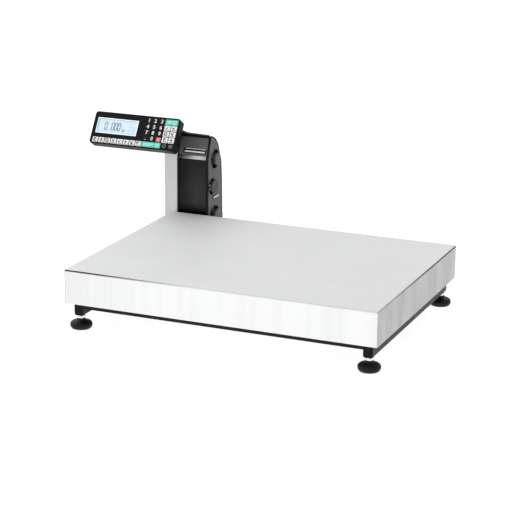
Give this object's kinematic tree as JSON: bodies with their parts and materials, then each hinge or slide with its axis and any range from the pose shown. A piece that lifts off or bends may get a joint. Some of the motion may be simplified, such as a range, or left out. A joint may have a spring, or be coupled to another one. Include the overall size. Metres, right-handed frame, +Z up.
{
  "type": "label printing scale",
  "caption": "Platform scale with a lift-off steel pan, levelling feet, a rear column, a side-loading label printer and a tilting keyboard terminal.",
  "frame": {"origin": "on the floor, under the middle of the whole object's bounding box", "axes": "+X to the operator's right along the pan's front edge, +Y away from the operator, +Z up"},
  "size_m": [1.0184, 0.706, 0.4125],
  "materials": {
    "stainless": "fine brushed sheet",
    "column_steel": "satin sheet",
    "frame_paint": "black powder coat",
    "black_plastic": "fine textured moulding",
    "grey_plastic": "spark textured moulding",
    "smooth_black": "smooth moulding",
    "lip_silver": "satin plated",
    "foot_plastic": "ribbed moulding",
    "zinc": "bright zinc plate",
    "plate_black": "black electroplated steel",
    "cell_aluminium": "milled and anodised",
    "pad_rubber": "matt",
    "roller_rubber": "ground rubber",
    "level_cup": "smooth",
    "level_glass": "clear, green fluid",
    "knob_black": "ribbed moulding",
    "key_print": "printed polyester film",
    "window": "clear",
    "display": "lit pale blue",
    "board": "solder resist",
    "motor": "black",
    "gear_plastic": "natural acetal",
    "spool_plastic": "moulded",
    "label_paper": "thermal paper"
  },
  "bodies": {
    "frame": {"side_rails": "frame_paint", "cross_rails": "frame_paint", "centre_beam": "frame_paint", "rail_end_plugs": "black_plastic", "foot_bushes": "frame_paint", "load_cell": "cell_aluminium", "load_cell_mounts": "zinc", "load_frame": "frame_paint", "load_frame_pads": "pad_rubber", "overload_stops": "zinc", "signal_box": "cell_aluminium", "rear_bracket": "frame_paint", "mounting_screws": "zinc", "bubble_level": "level_cup", "level_vial": "level_glass", "column": "column_steel", "column_cap": "black_plastic", "hinge_bracket": "frame_paint", "hinge_bolt": "knob_black", "printer_housing": "black_plastic", "printer_front_cover": "smooth_black", "printer_head_cover": "grey_plastic", "label_exit_lip": "lip_silver", "label": "label_paper", "print_head": "cell_aluminium", "drive_motor": "motor", "power_inlet": "black_plastic"},
    "pan": {"weighing_pan": "stainless"},
    "terminal": {"terminal_bezel": "black_plastic", "terminal_shell": "black_plastic", "key_panel": "key_print", "display_window": "window", "display_module": "display", "terminal_board": "board", "terminal_lug": "black_plastic"},
    "cartridge": {"cartridge_panel": "grey_plastic", "cartridge_plate": "plate_black", "cartridge_rods": "zinc"},
    "latch": {"cartridge_latch": "zinc"},
    "head_lever": {"head_lever": "grey_plastic"},
    "supply_roll": {"label_roll": "label_paper", "roll_hub": "black_plastic"},
    "rewinder": {"rewinder_spool": "spool_plastic", "rewinder_knob": "grey_plastic"},
    "platen": {"platen_roller": "roller_rubber", "platen_gear": "gear_plastic"},
    "idler": {"idler_gear": "gear_plastic"},
    "pinion": {"motor_pinion": "gear_plastic"},
    "nut_1": {"foot_nut_1": "zinc"},
    "foot_1": {"foot_stud_1": "zinc", "foot_pad_1": "foot_plastic"},
    "nut_2": {"foot_nut_2": "zinc"},
    "foot_2": {"foot_stud_2": "zinc", "foot_pad_2": "foot_plastic"},
    "nut_3": {"foot_nut_3": "zinc"},
    "foot_3": {"foot_stud_3": "zinc", "foot_pad_3": "foot_plastic"},
    "nut_4": {"foot_nut_4": "zinc"},
    "foot_4": {"foot_stud_4": "zinc", "foot_pad_4": "foot_plastic"}
  },
  "joints": [
    {"name": "pan_lift", "type": "slide", "parent": "frame", "child": "pan", "axis": [0, 0, 1], "range_m": [0, 0.12]},
    {"name": "terminal_tilt", "type": "hinge", "parent": "frame", "child": "terminal", "pos_m": [-0.2988, 0.246, 0.35757], "axis": [1, 0, 0], "range_deg": [-6, 25]},
    {"name": "cartridge_slide", "type": "slide", "parent": "frame", "child": "cartridge", "axis": [1, 0, 0], "range_m": [0, 0.1]},
    {"name": "latch_turn", "type": "hinge", "parent": "cartridge", "child": "latch", "pos_m": [-0.1878, 0.292, 0.1927], "axis": [1, 0, 0], "range_deg": [0, 80]},
    {"name": "head_release", "type": "hinge", "parent": "cartridge", "child": "head_lever", "pos_m": [-0.1928, 0.304, 0.297], "axis": [1, 0, 0], "range_deg": [0, 76]},
    {"name": "roll_spin", "type": "hinge", "parent": "cartridge", "child": "supply_roll", "pos_m": [-0.2308, 0.301, 0.135], "axis": [1, 0, 0], "continuous": true},
    {"name": "rewinder_spin", "type": "hinge", "parent": "cartridge", "child": "rewinder", "pos_m": [-0.2308, 0.284, 0.225], "axis": [1, 0, 0], "continuous": true},
    {"name": "platen_spin", "type": "hinge", "parent": "cartridge", "child": "platen", "pos_m": [-0.2308, 0.278, 0.313], "axis": [1, 0, 0], "continuous": true},
    {"name": "idler_spin", "type": "hinge", "parent": "frame", "child": "idler", "pos_m": [-0.2728, 0.30146, 0.29008], "axis": [1, 0, 0], "continuous": true},
    {"name": "pinion_spin", "type": "hinge", "parent": "frame", "child": "pinion", "pos_m": [-0.2728, 0.32149, 0.27051], "axis": [1, 0, 0], "continuous": true},
    {"name": "foot_1_turn", "type": "hinge", "parent": "frame", "child": "nut_1", "pos_m": [-0.2628, -0.3226, 0.028], "axis": [0, 0, -1], "range_deg": [0, 2523]},
    {"name": "foot_1_drop", "type": "slide", "parent": "nut_1", "child": "foot_1", "axis": [0, 0, -1], "range_m": [0, 0.01225]},
    {"name": "foot_2_turn", "type": "hinge", "parent": "frame", "child": "nut_2", "pos_m": [0.4812, -0.3226, 0.028], "axis": [0, 0, -1], "range_deg": [0, 2523]},
    {"name": "foot_2_drop", "type": "slide", "parent": "nut_2", "child": "foot_2", "axis": [0, 0, -1], "range_m": [0, 0.01225]},
    {"name": "foot_3_turn", "type": "hinge", "parent": "frame", "child": "nut_3", "pos_m": [-0.2628, 0.2166, 0.028], "axis": [0, 0, -1], "range_deg": [0, 2523]},
    {"name": "foot_3_drop", "type": "slide", "parent": "nut_3", "child": "foot_3", "axis": [0, 0, -1], "range_m": [0, 0.01225]},
    {"name": "foot_4_turn", "type": "hinge", "parent": "frame", "child": "nut_4", "pos_m": [0.4812, 0.2166, 0.028], "axis": [0, 0, -1], "range_deg": [0, 2523]},
    {"name": "foot_4_drop", "type": "slide", "parent": "nut_4", "child": "foot_4", "axis": [0, 0, -1], "range_m": [0, 0.01225]}
  ],
  "couplings": [
    {"joint": "idler_spin", "follows": "platen_spin", "ratio": -0.41379},
    {"joint": "pinion_spin", "follows": "platen_spin", "ratio": 2},
    {"joint": "foot_1_turn", "follows": "foot_1_drop", "rad_per_m": 3590.4},
    {"joint": "foot_2_turn", "follows": "foot_2_drop", "rad_per_m": 3590.4},
    {"joint": "foot_3_turn", "follows": "foot_3_drop", "rad_per_m": 3590.4},
    {"joint": "foot_4_turn", "follows": "foot_4_drop", "rad_per_m": 3590.4}
  ]
}
